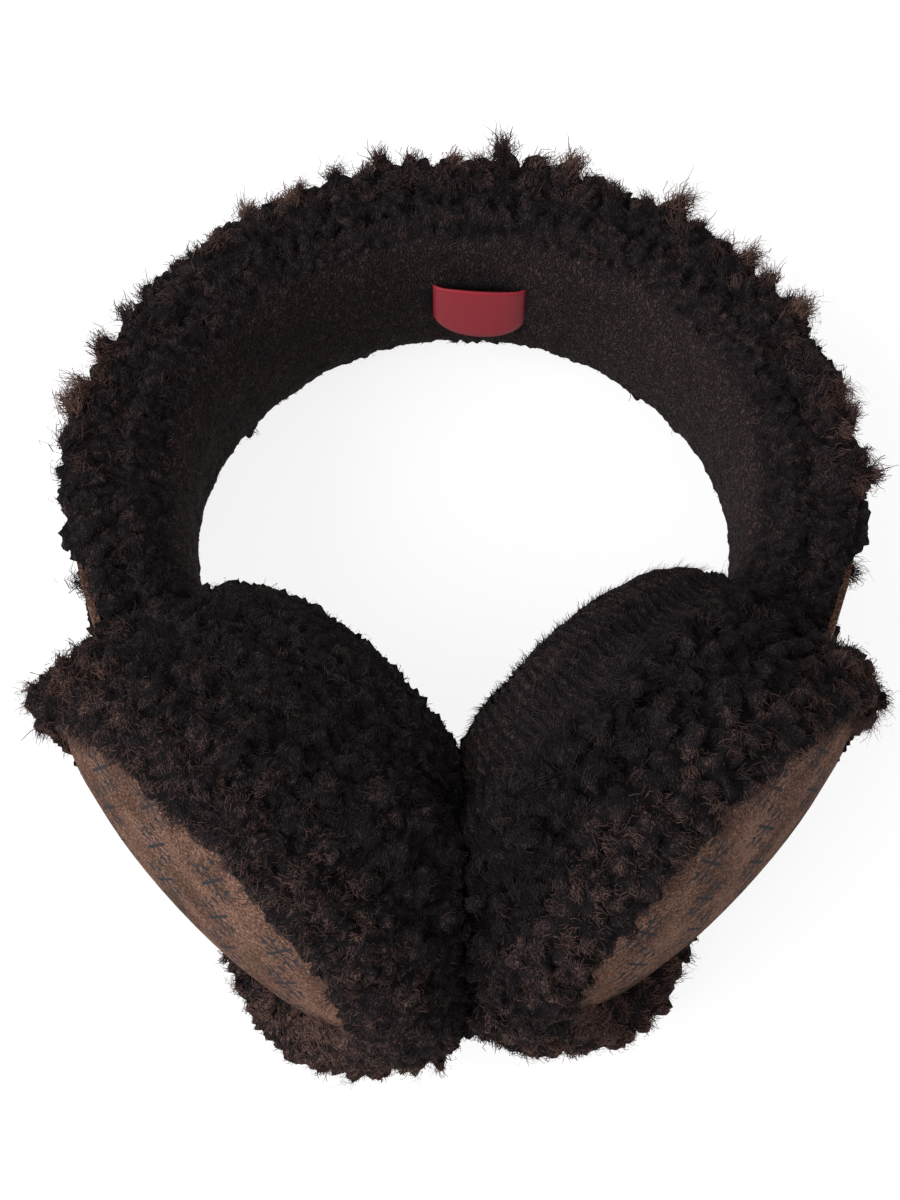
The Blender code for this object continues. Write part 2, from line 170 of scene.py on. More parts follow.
# Looks of wool in each place.
# length: of a strand; curl: how far it turns from its root to its tip, in degrees; start: its lean at the
# root; spread: how far a clump's strands fan round; frizz: how crinkled they are; width: of a ribbon;
# lump: height of the skin's curls; tuft: the rise of the highest tufts.
STYLES = {
    "curly": {
        "length": 0.0034, "curl": 195, "start": 0, "spread": 40, "frizz": 0.42, "width": 0.00023,
        "lump": 0.00105, "tuft": 0.0080,
    },
    "plush": {
        "length": 0.0014, "curl": 70, "start": 30, "spread": 180, "frizz": 0.40, "width": 0.00024,
        "lump": 0.00028, "tuft": 0.0,
    },
    "loose": {
        "length": 0.0042, "curl": 215, "start": 0, "spread": 42, "frizz": 0.42, "width": 0.00025,
        "lump": 0.00150, "tuft": 0.0065,
    },
    "combed": {
        "length": 0.0050, "curl": 42, "start": 58, "spread": 12, "frizz": 0.14, "width": 0.00022,
        "lump": 0.00025, "tuft": 0.0,
    },
}

# Each node's wool. spacing: how far apart the clumps stand; warp: how far the skin's curls are pulled out of
# round; evening: rounds that even out the skin, on the headband only its plush; strands: how many;
# points: on each strand.
AMOUNTS = {
    "headband_wool": {"spacing": 0.0022, "warp": 0.0006, "evening": 35, "strands": 54000, "points": 5},
    "left_rim_wool": {"spacing": 0.0022, "warp": 0.0009, "evening": 0, "strands": 24000, "points": 5},
    "right_rim_wool": {"spacing": 0.0035, "warp": 0.0021, "evening": 0, "strands": 24000, "points": 5},
    "left_ear_wool": {"spacing": 0.0022, "warp": 0.0009, "evening": 8, "strands": 6000, "points": 4},
    "right_ear_wool": {"spacing": 0.0022, "warp": 0.0009, "evening": 8, "strands": 8000, "points": 4},
}

# What differs between the cups. style: of the rim's wool; edge_reach: how far up the bared lower edge goes by
# the headband, in panel radii; corner: whether the wool swells past the panel there; rim_tone and ear_tone:
# lightness; over_ear: how strongly the rim's wool is combed over the ear's side; ear_comb: the same on the
# ear's wool; combed: whether the wool of the ear's side is combed in bundles.
CUPS = {
    "left": {
        "style": "curly", "edge_reach": 0.50, "corner": True, "rim_tone": 0.93, "ear_tone": 1.0,
        "over_ear": 0.0, "ear_comb": 0.8, "combed": False, "seed": 31,
    },
    "right": {
        "style": "loose", "edge_reach": 0.10, "corner": False, "rim_tone": 0.80, "ear_tone": 0.85,
        "over_ear": 2.4, "ear_comb": 3.0, "combed": True, "seed": 41,
    },
}
BAND_SEED = 21

# How much each place adds to the clumps' comb, length, height of tufts and tone.
BAND_PLACES = {
    "length": {"everywhere": 1, "bared": -0.5},
    "tuft": {"everywhere": 0.12, "edge": 1.4, "bared": -1.5},
    "tone": {"everywhere": 1.02, "edge": 0.20},
}
BAND_COMB = -0.5
RIM_PLACES = {
    "comb_out": {"everywhere": 0.6, "foot": 0.8},
    "comb_in": {"by_panel": 0.6, "lip": 2.5},
    "length": {"everywhere": 1, "to_ear": 0.2, "lip": 0.5},
    "tuft": {"everywhere": 0.18, "far_end": 0.12, "foot": 0.08, "lip": 0.4, "corner": 0.5},
    "tone": {"by_panel": 0.60, "far_end": 0.60, "foot": 0.3, "lip": 0.8, "to_ear": -0.15},
}
EDGE_SHORTER = 0.6
TO_EAR_LOWER = 0.8
LIP_COMBED = 0.5
EAR_TUFTS = 0.15

# Limits between which a share grows from 0 to 1. The ends of their names say what they are limits of:
# y and z in arch or cup coordinates, radius from the cup's axis, height in panel radii over the cup's middle,
# facing inwards, and the headband's outline, which is 1 on the suede.
ZONES = {
    "plush_facing": (0.25, 0.90),
    "band_edge_outline": (0.90, 0.99),
    "band_bared_y": (0.002, -0.014),
    "band_suede_y": (-0.018, -0.030),
    "edge_reach_y": (0.015, 0.045),
    "edge_depth_height": (0.05, 0.40),
    "edge_z": (-0.026, -0.010),
    "edge_y": (-0.008, 0.008),
    "foot_depth_height": (0.20, 0.70),
    "foot_z": (-0.034, -0.014),
    "foot_y": (0.006, -0.026),
    "corner_y": (0.022, 0.038),
    "corner_z": (-0.034, -0.018),
    "corner_height": (-0.25, -0.02),
    "shoulder_z": (-0.035, -0.040),
    "shoulder_radius": (0.040, 0.043),
    "ear_swell_z": (-0.0570, -0.0440),
    "ear_edge_z": (-0.0445, -0.0425),
    "ear_push_z": (-0.0500, -0.0440),
    "lip_radius": (0.0515, 0.0485),
    "lip_z": (-0.006, -0.001),
    "streaks_z": (-0.028, -0.036),
    "combed_z": (-0.026, -0.035),
    "far_end_y": (0.010, -0.030),
    "far_end_height": (0.15, -0.25),
    "by_panel_z": (-0.016, -0.002),
    "to_ear_z": (-0.030, -0.040),
}

# How the skins depart from the CAD's wool: the headband bares the suede's edge by the cups. The rim's wool is
# drawn in behind the panel's lower edge, spreads at the foot, swells at the corner and meets the ear cushion.
BARED_OUTLINE = 0.975
EDGE_INSET = 0.001
EDGE_KEPT = 0.35
EDGE_BACK = 0.0025
FOOT_SWELL = 0.02
FOOT_FORWARD = 0.008
CORNER_SWELL = (0.01, 0.07)
CORNER_FORWARD = 0.0015
MERGED_RADIUS = 0.0495
MERGED_LIMIT = 0.3
EAR_SWELL = 0.10
EAR_EDGE_SWELL = 0.06
EAR_PUSH = 0.0045
MEETING_REACH = 0.0015
MEETING_MOVE = 0.0005

# The combed wool's bundles across the right cup's roll, painted lighter on their crests and darker in the
# grooves between them.
STREAKS = 120
STREAK_SWAY = 2.5
STREAK_SCALE = 0.006
STREAK_HEIGHT = 0.0004
STREAK_PAINTED_SHADING = 0.5


def arch_matrix():
    return Matrix.Translation(ARCH_PLACE) @ Matrix.Rotation(math.radians(ARCH_TILT), 4, "X")


def cup_matrix(side):
    """A cup's frame on the floor: Z out through its panel, Y towards the headband."""
    turn = math.radians(CUP_TURN)
    sign = -1 if side == "left" else 1
    outward = Vector((sign * math.cos(turn), -math.sin(turn), 0))
    to_band = Vector((sign * math.sin(turn), math.cos(turn), 0))
    place = Matrix((to_band.cross(outward), to_band, outward)).transposed().to_4x4()
    place.translation = Vector((*CUP_CENTRES[side], 0))
    return arch_matrix() @ place


def as_arrays(matrix):
    array = np.array(matrix)
    return array[:3, :3], array[:3, 3]


def unit(vectors):
    return vectors / np.maximum(np.linalg.norm(vectors, axis=-1, keepdims=True), 1e-9)


def smooth_step(low, high, values):
    share = np.clip((values - low) / (high - low), 0, 1)
    return share * share * (3 - 2 * share)


def zone(name, values):
    """0 at the named zone's first limit and 1 at its second."""
    return smooth_step(*ZONES[name], values)


def by_place(weights, places, start=0):
    """The start, plus each named place's share times its weight."""
    return sum((weight * places[name] for name, weight in weights.items()), start)


def node_triangles(node):
    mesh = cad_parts[node].data
    mesh.calc_loop_triangles()
    points = [vertex.co.copy() for vertex in mesh.vertices]
    return points, [tuple(triangle.vertices) for triangle in mesh.loop_triangles]


def tree_of(nodes):
    """A search tree of all the triangles of these CAD nodes."""
    points, triangles = [], []
    for node in nodes:
        more_points, more_triangles = node_triangles(node)
        first = len(points)
        points += more_points
        triangles += [tuple(first + i for i in triangle) for triangle in more_triangles]
    return BVHTree.FromPolygons(points, triangles)


def link(obj):
    bpy.context.scene.collection.objects.link(obj)
    return obj


def bake(obj):
    """Works the object's modifiers into its mesh."""
    graph = bpy.context.evaluated_depsgraph_get()
    mesh = bpy.data.meshes.new_from_object(obj.evaluated_get(graph))
    obj.modifiers.clear()
    obj.data = mesh


def points_of(mesh):
    points = np.empty(len(mesh.vertices) * 3, np.float32)
    mesh.vertices.foreach_get("co", points)
    return points.reshape(-1, 3).astype(float)


def normals_of(mesh):
    normals = np.empty(len(mesh.vertices) * 3, np.float32)
    mesh.vertex_normals.foreach_get("vector", normals)
    return normals.reshape(-1, 3).astype(float)


def set_values(mesh, name, values):
    attribute = mesh.attributes.new(name, "FLOAT", "POINT")
    attribute.data.foreach_set("value", np.asarray(values, np.float32).ravel())


def fleece_skin(node, name):
    """The node's own form with its locks softened: what shows between the strands."""
    skin = link(bpy.data.objects.new(name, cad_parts[node].data.copy()))
    skin.data.materials.clear()
    remesh = skin.modifiers.new("Fine mesh", "REMESH")
    remesh.mode = "VOXEL"
    remesh.voxel_size = SKIN_VOXEL
    soften = skin.modifiers.new("Soften", "SMOOTH")
    soften.factor = 0.5
    soften.iterations = SKIN_SMOOTHING
    bake(skin)
    skin.data.shade_smooth()
    return skin


def scatter(mesh, spacing, rng):
    """Points and normals spread evenly and at random over a mesh."""
    mesh.calc_loop_triangles()
    corners = np.empty(len(mesh.loop_triangles) * 3, np.int32)
    mesh.loop_triangles.foreach_get("vertices", corners)
    corners = corners.reshape(-1, 3)
    points, normals = points_of(mesh), normals_of(mesh)
    a, b, c = (points[corners[:, i]] for i in range(3))
    areas = np.linalg.norm(np.cross(b - a, c - a), axis=1) / 2
    count = int(areas.sum() / spacing**2 * TRIES_PER_CLUMP)
    chosen = rng.choice(len(areas), count, p=areas / areas.sum())
    weights = rng.dirichlet((1, 1, 1), count)[:, :, None]
    spots = (points[corners[chosen]] * weights).sum(1)
    facing = unit((normals[corners[chosen]] * weights).sum(1))
    kept = thin_out(spots, spacing)
    return spots[kept], facing[kept]


def thin_out(points, spacing):
    """Indices of points kept so that no two lie closer together than the spacing."""
    tree = KDTree(len(points))
    for i, point in enumerate(points):
        tree.insert(point, i)
    tree.balance()
    free = np.ones(len(points), bool)
    kept = []
    for i, point in enumerate(points):
        if free[i]:
            kept.append(i)
            free[[j for _, j, _ in tree.find_range(point, spacing)]] = False
    return np.array(kept)


def nearest(points, to):
    """For each point, the index and distance of the nearest of the other points."""
    tree = KDTree(len(to))
    for i, point in enumerate(to):
        tree.insert(point, i)
    tree.balance()
    found = [tree.find(point)[1:] for point in points]
    return np.array([i for i, _ in found]), np.array([distance for _, distance in found])


def room_over(spots, facing, others):
    """How far each spot can see along its normal before it meets another piece."""
    room = np.full(len(spots), 1.0)
    for i, (spot, normal) in enumerate(zip(spots, facing)):
        hit = others.ray_cast(Vector(spot), Vector(normal), ROOM_REACH)
        if hit[0]:
            room[i] = hit[3]
    return room


def sky_share(spots, facing, everything, rng):
    """The share of directions in which each spot sees out past the whole object and the floor."""
    rays = unit(rng.normal(size=(SIGHT_RAYS, 3)))
    share = np.zeros(len(spots))
    for i, (spot, normal) in enumerate(zip(spots, facing)):
        start = Vector(spot + normal * SIGHT_START)
        seen = 0
        for ray in unit(rays + normal * SIGHT_LEAN):
            clear = everything.ray_cast(start, Vector(ray), SIGHT_REACH)[0] is None
            seen += clear and start.z + ray[2] * SIGHT_REACH > -SIGHT_REACH * SIGHT_FLOOR
        share[i] = seen / SIGHT_RAYS
    return share


def drift(spots, scale, seed):
    """A slowly changing random vector at each spot."""
    shift = Vector((seed * 1.7, seed * 2.3, seed * 3.1))
    return np.array([noise.noise_vector(Vector(spot) / scale + shift) for spot in spots])


def flat_part(vectors, normals):
    """The part of each vector that lies in the surface."""
    return vectors - (vectors * normals).sum(-1, keepdims=True) * normals


def mixed(shares):
    """The styles' values for each spot, from its share of each named style."""
    keys = next(iter(STYLES.values())).keys()
    return {key: sum(STYLES[name][key] * share for name, share in shares.items()) for key in keys}


def smooth_where(mesh, share, rounds):
    """Evens the mesh out, fully where the share is 1."""
    points = points_of(mesh)
    edges = np.empty(len(mesh.edges) * 2, np.int32)
    mesh.edges.foreach_get("vertices", edges)
    ends = edges.reshape(-1, 2)
    here = np.concatenate([ends[:, 0], ends[:, 1]])
    there = np.concatenate([ends[:, 1], ends[:, 0]])
    count = np.bincount(here, minlength=len(points))[:, None]
    for _ in range(rounds):
        total = [np.bincount(here, points[there, axis], len(points)) for axis in range(3)]
        points += (np.stack(total, axis=1) / count - points) * EVENING_STEP * share[:, None]
    move_points(mesh, points)


def move_points(mesh, points):
    mesh.vertices.foreach_set("co", points.astype(np.float32).ravel())
    mesh.update()


class Wool:
    """The wool of one CAD node: its skin, and strands in clumps on it.

    shares_at(points, normals) gives the share of each style at those points, and reshape(points) says where
    the skin's points go. For each clump, comb is the way that its strands lie, and length, tone and tuft_scale
    scale them.
    """

    def __init__(self, node, everything, others, shares_at, seed, reshape):
        self.node = node
        self.seed = seed
        self.amount = AMOUNTS[node]
        self.rng = np.random.default_rng(seed)
        self.skin = fleece_skin(node, node.replace("_wool", "_fleece"))
        mesh = self.skin.data
        move_points(mesh, reshape(points_of(mesh)))
        shares = shares_at(points_of(mesh), normals_of(mesh))
        smooth_where(mesh, shares.get("plush", np.ones(len(mesh.vertices))), self.amount["evening"])
        spots, facing = scatter(mesh, self.amount["spacing"], self.rng)
        room = room_over(spots, facing, others)
        free = room > LEAST_ROOM
        spots, facing, room = spots[free], facing[free], room[free]
        sky = sky_share(spots, facing, everything, self.rng)
        seen = sky > 0
        self.spots, self.facing, self.room, self.sky = spots[seen], facing[seen], room[seen], sky[seen]
        self.style = mixed(shares_at(self.spots, self.facing))
        self.skin_style = mixed(shares_at(points_of(mesh), normals_of(mesh)))
        self.comb = np.zeros_like(self.spots)
        self.length = np.ones(len(self.spots))
        self.tone = np.ones(len(self.spots))
        self.tuft_scale = np.ones(len(self.spots))
        self.streaks_at = lambda points: np.zeros(len(points))

    def settle(self):
        """Chooses each clump's lean and how high it rises in a tuft."""
        rng = self.rng
        self.tufts = self.spots[thin_out(self.spots, TUFT_SPACING)]
        self.tuft_size = rng.uniform(*VARIETY["tuft"], len(self.tufts))
        self.rise, self.to_tuft = self.rise_at(self.spots, self.style["tuft"] * self.tuft_scale)
        wander = flat_part(drift(self.spots, WANDER_SCALE, self.seed), self.facing)
        stray = flat_part(rng.normal(size=self.spots.shape), self.facing)
        self.lean = unit(WANDER * wander + self.comb + STRAY * stray)
        self.bulk = rng.uniform(*VARIETY["bulk"], len(self.spots))
        self.shade = rng.uniform(*VARIETY["shade"], len(self.spots))
        self.shade += SHADE_DRIFT * drift(self.spots, SHADE_SCALE, self.seed + 5)[:, 0]

    def rise_at(self, points, tallest):
        """How high the wool rises in a tuft at each point, and the way from there to the tuft's middle."""
        tuft, distance = nearest(points, self.tufts)
        rise = np.exp(-((distance / TUFT_REACH) ** 2)) * self.tuft_size[tuft] * tallest
        return rise, (self.tufts[tuft] - points) * (rise / TUFT_REACH)[:, None] * TUFT_CLOSING

    def finish_skin(self, material):
        """Raises a leaning curl under each clump, paints light and shade on the skin, and thins out the mesh.
        """
        mesh = self.skin.data
        spacing = self.amount["spacing"]
        points, normals = points_of(mesh), normals_of(mesh)
        warp = drift(points, WARP_SCALE, self.seed + 3) * self.amount["warp"]
        clump, distance = nearest(points + warp, self.spots)
        near = np.clip(2 - distance / spacing, 0, 1)
        dome = np.clip(1 - (distance / (spacing * CURL_RADIUS)) ** 2, CURL_DIP, 1)
        lump = self.skin_style["lump"]
        height = lump * dome * self.bulk[clump] * near
        rise, _ = self.rise_at(points, self.skin_style["tuft"] * self.tuft_scale[clump])
        # The combed bundles' streaks raise the skin, and below also paint it lighter on their crests and
        # darker in their grooves.
        streaks = self.streaks_at(points)
        height += SKIN_RISE * rise * near + STREAK_HEIGHT * streaks
        sideways = self.lean[clump] * np.clip(height, 0, None)[:, None] * CURL_LEAN
        rough = drift(points, ROUGHNESS_SCALE, self.seed) * np.minimum(lump, ROUGHNESS_LIMIT)[:, None]
        billow = drift(points, BILLOW_SCALE, self.seed + 7) * lump[:, None]
        points += normals * height[:, None] + sideways + rough + billow
        points[:, 2] = np.maximum(points[:, 2], 0)
        move_points(mesh, points)
        curliness = np.clip(lump / FULL_CURL, 0, 1)
        # Painted light and shade: the skin is even on plush, and on curls painted lighter on each crest and
        # darker in its hollows.
        light = PLUSH_TONE * (1 - curliness)
        light += curliness * self.shade[clump] * (HOLLOW_PAINTED_SHADE + CREST_PAINTED_LIGHT * np.clip(dome, 0, 1))
        # Painted shade: the skin fades to black away from the clumps, in the gaps and crevices where none were
        # kept.
        light = light * self.tone[clump] * near * (1 + STREAK_PAINTED_SHADING * streaks)
        set_values(mesh, "shade", np.clip(light, 0, 1))
        fewer = self.skin.modifiers.new("Fewer faces", "DECIMATE")
        fewer.ratio = SKIN_SHARE
        bake(self.skin)
        self.skin.data.shade_smooth()
        finish_piece(self.skin, material)
        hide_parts(self.node)

    def strands(self, name, material, chosen=slice(None)):
        """Grows the strands of the chosen clumps, or of all."""
        own = np.repeat(np.arange(len(self.spots))[chosen], self.share_out()[chosen])
        lines, beside = self.grow(own, self.amount["points"] - 1)
        tone = self.tone * self.shade * (1 + self.rise / TUFT_LIGHTER)
        # Painted light on the combed bundles' crests and painted shade in their grooves.
        tone *= 1 + STREAK_PAINTED_SHADING * self.streaks_at(self.spots)
        tone = tone[own] * self.rng.uniform(*VARIETY["tone"], len(own))
        width = self.style["width"] * (1 + TUFT_WIDER * np.clip(self.rise / TALL_TUFT, 0, 1))
        width = width[own] * self.rng.uniform(*VARIETY["width"], len(own))
        return finish_piece(ribbons(name, lines, beside, width, tone), material)

    def share_out(self):
        """How many strands each clump gets: more where more of it shows and where tufts stand."""
        weight = LEAST_WEIGHT + MORE_WEIGHT * np.minimum(1, self.sky / FULL_SKY)
        weight *= 1 + self.rise / TUFT_FULLER
        weight *= LEAST_WEIGHT + MORE_WEIGHT * np.clip(self.style["lump"] / FULL_CURL, 0, 1)
        wanted = weight * self.amount["strands"] / weight.sum()
        whole = np.random.default_rng(self.seed + 500).uniform(0, 1, len(wanted))
        return np.floor(wanted + whole).astype(int)

    def grow(self, own, steps):
        """Centre lines (n, points, 3) and the flat sides' directions of strands on their own clumps."""
        rng = self.rng
        count = len(own)
        normal, lean, rise = self.facing[own], self.lean[own], self.rise[own]
        spread = np.radians(self.style["spread"][own]) * rng.uniform(-1, 1, count)
        across = np.cross(normal, lean)
        way = lean * np.cos(spread)[:, None] + across * np.sin(spread)[:, None]
        beside = np.cross(normal, way)
        offset = flat_part(rng.normal(size=(count, 3)), normal) * self.amount["spacing"] * CLUMP_WIDTH
        height = SKIN_RISE * rise * rng.uniform(*VARIETY["root"], count) - ROOT_DEPTH
        roots = self.spots[own] + offset + (normal + lean * CURL_LEAN) * height[:, None]
        flyaway = rng.uniform(0, 1, count) < FLYAWAY_SHARE
        length = self.style["length"][own] * self.length[own] * self.bulk[own] ** 0.5 + TUFT_LENGTH * rise
        length = length * rng.uniform(*VARIETY["length"], count) * (1 + FLYAWAY_LONGER * flyaway)
        length = np.minimum(length, self.room[own] * ROOM_SHARE)
        start = np.radians(self.style["start"][own] + rng.uniform(-ROOT_LEAN, ROOT_LEAN, count))
        high = np.clip(rise / TALL_TUFT, 0, 1)
        ease = (1 - TUFT_STRAIGHTER * high) * (1 - FLYAWAY_STRAIGHTER * flyaway)
        turn = np.radians(self.style["curl"][own]) * rng.uniform(*VARIETY["curl"], count) * ease
        twist = rng.uniform(0, 2 * math.pi, count)

        frizz = (self.style["frizz"][own] * (1 + TUFT_FRIZZIER * high))[:, None]
        line = [roots]
        for step in range(steps):
            share = (step + 0.5) / steps
            angle = (start + turn * share**CURL_POWER)[:, None]
            sway = SWAY * np.sin(SWAY_TURN * share + twist)[:, None]
            ahead = normal * np.cos(angle) + way * np.sin(angle) + beside * sway
            ahead = unit(ahead + self.to_tuft[own] / TUFT_REACH + frizz * rng.normal(size=(count, 3)))
            line.append(line[-1] + ahead * (length / steps)[:, None])
        lines = np.stack(line, axis=1)
        lines[:, :, 2] = np.maximum(lines[:, :, 2], FLOOR_CLEARANCE)
        return lines, beside


def ribbons(name, lines, beside, width, shade):
    """One mesh of flat tapered ribbons along the lines: quads, and a triangle at each tip."""
    count, points = lines.shape[:2]
    taper = np.linspace(1.0, RIBBON_TIP, points - 1)
    half = beside[:, None, :] * (width[:, None] * taper / 2)[:, :, None]
    left = lines[:, :-1] - half
    right = lines[:, :-1] + half
    corners = np.concatenate([left, right, lines[:, -1:]], axis=1)
    each = 2 * (points - 1) + 1
    low = np.arange(points - 2)
    quads = np.stack([low, low + 1, low + points, low + points - 1], axis=1).ravel()
    tip = [points - 2, each - 1, 2 * points - 3]
    pattern = np.concatenate([quads, tip])
    starts = np.concatenate([low * 4, [4 * (points - 2)]])
    loops = (pattern[None, :] + each * np.arange(count)[:, None]).ravel()
    loop_starts = (starts[None, :] + len(pattern) * np.arange(count)[:, None]).ravel()

    mesh = bpy.data.meshes.new(name)
    mesh.vertices.add(count * each)
    mesh.vertices.foreach_set("co", corners.astype(np.float32).ravel())
    mesh.loops.add(len(loops))
    mesh.loops.foreach_set("vertex_index", loops.astype(np.int32))
    mesh.polygons.add(len(loop_starts))
    mesh.polygons.foreach_set("loop_start", loop_starts.astype(np.int32))
    mesh.update(calc_edges=True)
    mesh.shade_smooth()
    along = np.linspace(0, 1, points)
    column = np.concatenate([along[:-1], along[:-1], along[-1:]])
    # Painted shade at each strand's root, deep in the fleece, and painted light towards its tip.
    tones = shade[:, None] * (RIBBON_ROOT_PAINTED_SHADE + RIBBON_TIP_PAINTED_LIGHT * column[None, :])
    set_values(mesh, "shade", np.clip(tones, 0, 1))
    return link(bpy.data.objects.new(name, mesh))


def finish_piece(piece, material):
    piece.data.materials.append(material)
    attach(piece, "root")
    return piece


def new_material(name, roughness, specular):
    material = bpy.data.materials.new(name)
    material.use_nodes = True
    shader = material.node_tree.nodes["Principled BSDF"]
    shader.inputs["Roughness"].default_value = roughness
    shader.inputs["Specular IOR Level"].default_value = specular
    return material, material.node_tree, shader


def add_node(tree, kind, settings=None, **inputs):
    """A new node with its own settings. Each input is a number, a colour or another node's output.

    An input named _0, _1 or _2 goes to the socket in that place, and any other to the socket of that name.
    """
    node = tree.nodes.new(kind)
    for key, value in (settings or {}).items():
        setattr(node, key, value)
    for key, value in inputs.items():
        socket = node.inputs[int(key[1:])] if key[0] == "_" else node.inputs[key.replace("_", " ")]
        if isinstance(value, bpy.types.NodeSocket):
            tree.links.new(value, socket)
        else:
            socket.default_value = value
    return node


def maths(tree, operation, *values):
    inputs = {f"_{i}": value for i, value in enumerate(values)}
    return add_node(tree, "ShaderNodeMath", {"operation": operation}, **inputs).outputs["Value"]


def ramp(tree, factor, stops):
    """A colour ramp through (position, linear colour) stops."""
    node = add_node(tree, "ShaderNodeValToRGB", _0=factor)
    elements = node.color_ramp.elements
    while len(elements) < len(stops):
        elements.new(0.5)
    for element, (position, colour) in zip(elements, stops):
        element.position = position
        element.color = (*colour, 1)
    return node.outputs["Color"]


def add_bump(tree, shader, strength, distance, height):
    bump = add_node(tree, "ShaderNodeBump", Strength=strength, Distance=distance, Height=height)
    tree.links.new(bump.outputs["Normal"], shader.inputs["Normal"])


WOOL_COLOURS = (
    (0.00, (0.0034, 0.0029, 0.0033)),
    (0.45, (0.0160, 0.0124, 0.0130)),
    (1.00, (0.0700, 0.0400, 0.0335)),
)


def wool_material(name, curls=0.0):
    """Dark brown wool, lighter and redder where its shade is high. Curls add a relief of curled fibres, with
    painted shade in its grooves.
    """
    material, tree, shader = new_material(name, 0.80, 0.03)
    shade = add_node(tree, "ShaderNodeAttribute", {"attribute_name": "shade"}).outputs["Fac"]
    if curls:
        place = add_node(tree, "ShaderNodeTexCoord").outputs["Object"]
        swirls = add_node(
            tree, "ShaderNodeTexWave",
            Vector=place, Scale=330.0, Distortion=20.0, Detail=2.5, Detail_Scale=1.4,
        ).outputs["Fac"]
        # Painted shade: the colour is darker in the swirls' grooves, where the bump sinks.
        shade = maths(tree, "MULTIPLY", shade, maths(tree, "MULTIPLY_ADD", swirls, 1.3, 0.35))
        add_bump(tree, shader, curls, 0.0005, swirls)
    tree.links.new(ramp(tree, shade, WOOL_COLOURS), shader.inputs["Base Color"])
    return material


SUEDE_COLOURS = (
    (0.50, (0.0210, 0.0108, 0.0076)),
    (0.66, (0.0720, 0.0385, 0.0275)),
    (0.80, (0.2000, 0.1130, 0.0820)),
)

# The panels' motifs, in shares of their pitch. A barb leaves its arm at about 60 degrees.
MOTIF_COLOUR = (0.021, 0.021, 0.025, 1)
MOTIF_STRENGTH = 0.95
MOTIF_PITCH = 0.0190
MOTIF_LINE = 0.042
ARM_LENGTH = 0.38
BARB_ROOT = 0.20
BARB_REACH = 0.10
BARB_SINE = 0.866
BARB_COSINE = 0.5
DOT_RADIUS = 0.06

# The colour sockets of a Mix node, which share their names with its other sockets.
MIX_FIRST, MIX_SECOND, MIX_RESULT = 6, 7, 2


def suede_material(name, place_matrix=None):
    """Brushed suede: a fine nap with light and dark strokes. Panels also carry small slate motifs."""
    material, tree, shader = new_material(name, 0.92, 0.03)
    place = add_node(tree, "ShaderNodeTexCoord").outputs["Object"]
    strokes = add_node(tree, "ShaderNodeTexNoise", Vector=place, Scale=70.0, Detail=4.0).outputs["Fac"]
    grain = add_node(
        tree, "ShaderNodeTexNoise", Vector=place, Scale=1500.0, Detail=4.0, Roughness=0.70,
    ).outputs["Fac"]
    colour = ramp(tree, maths(tree, "MULTIPLY_ADD", strokes, 0.32, grain), SUEDE_COLOURS)
    add_bump(tree, shader, 0.8, 0.0004, grain)
    if place_matrix is not None:
        mixer = add_node(tree, "ShaderNodeMix", {"data_type": "RGBA"})
        tree.links.new(motif_mask(tree, place, place_matrix), mixer.inputs["Factor"])
        tree.links.new(colour, mixer.inputs[MIX_FIRST])
        mixer.inputs[MIX_SECOND].default_value = MOTIF_COLOUR
        colour = mixer.outputs[MIX_RESULT]
    tree.links.new(colour, shader.inputs["Base Color"])
    return material


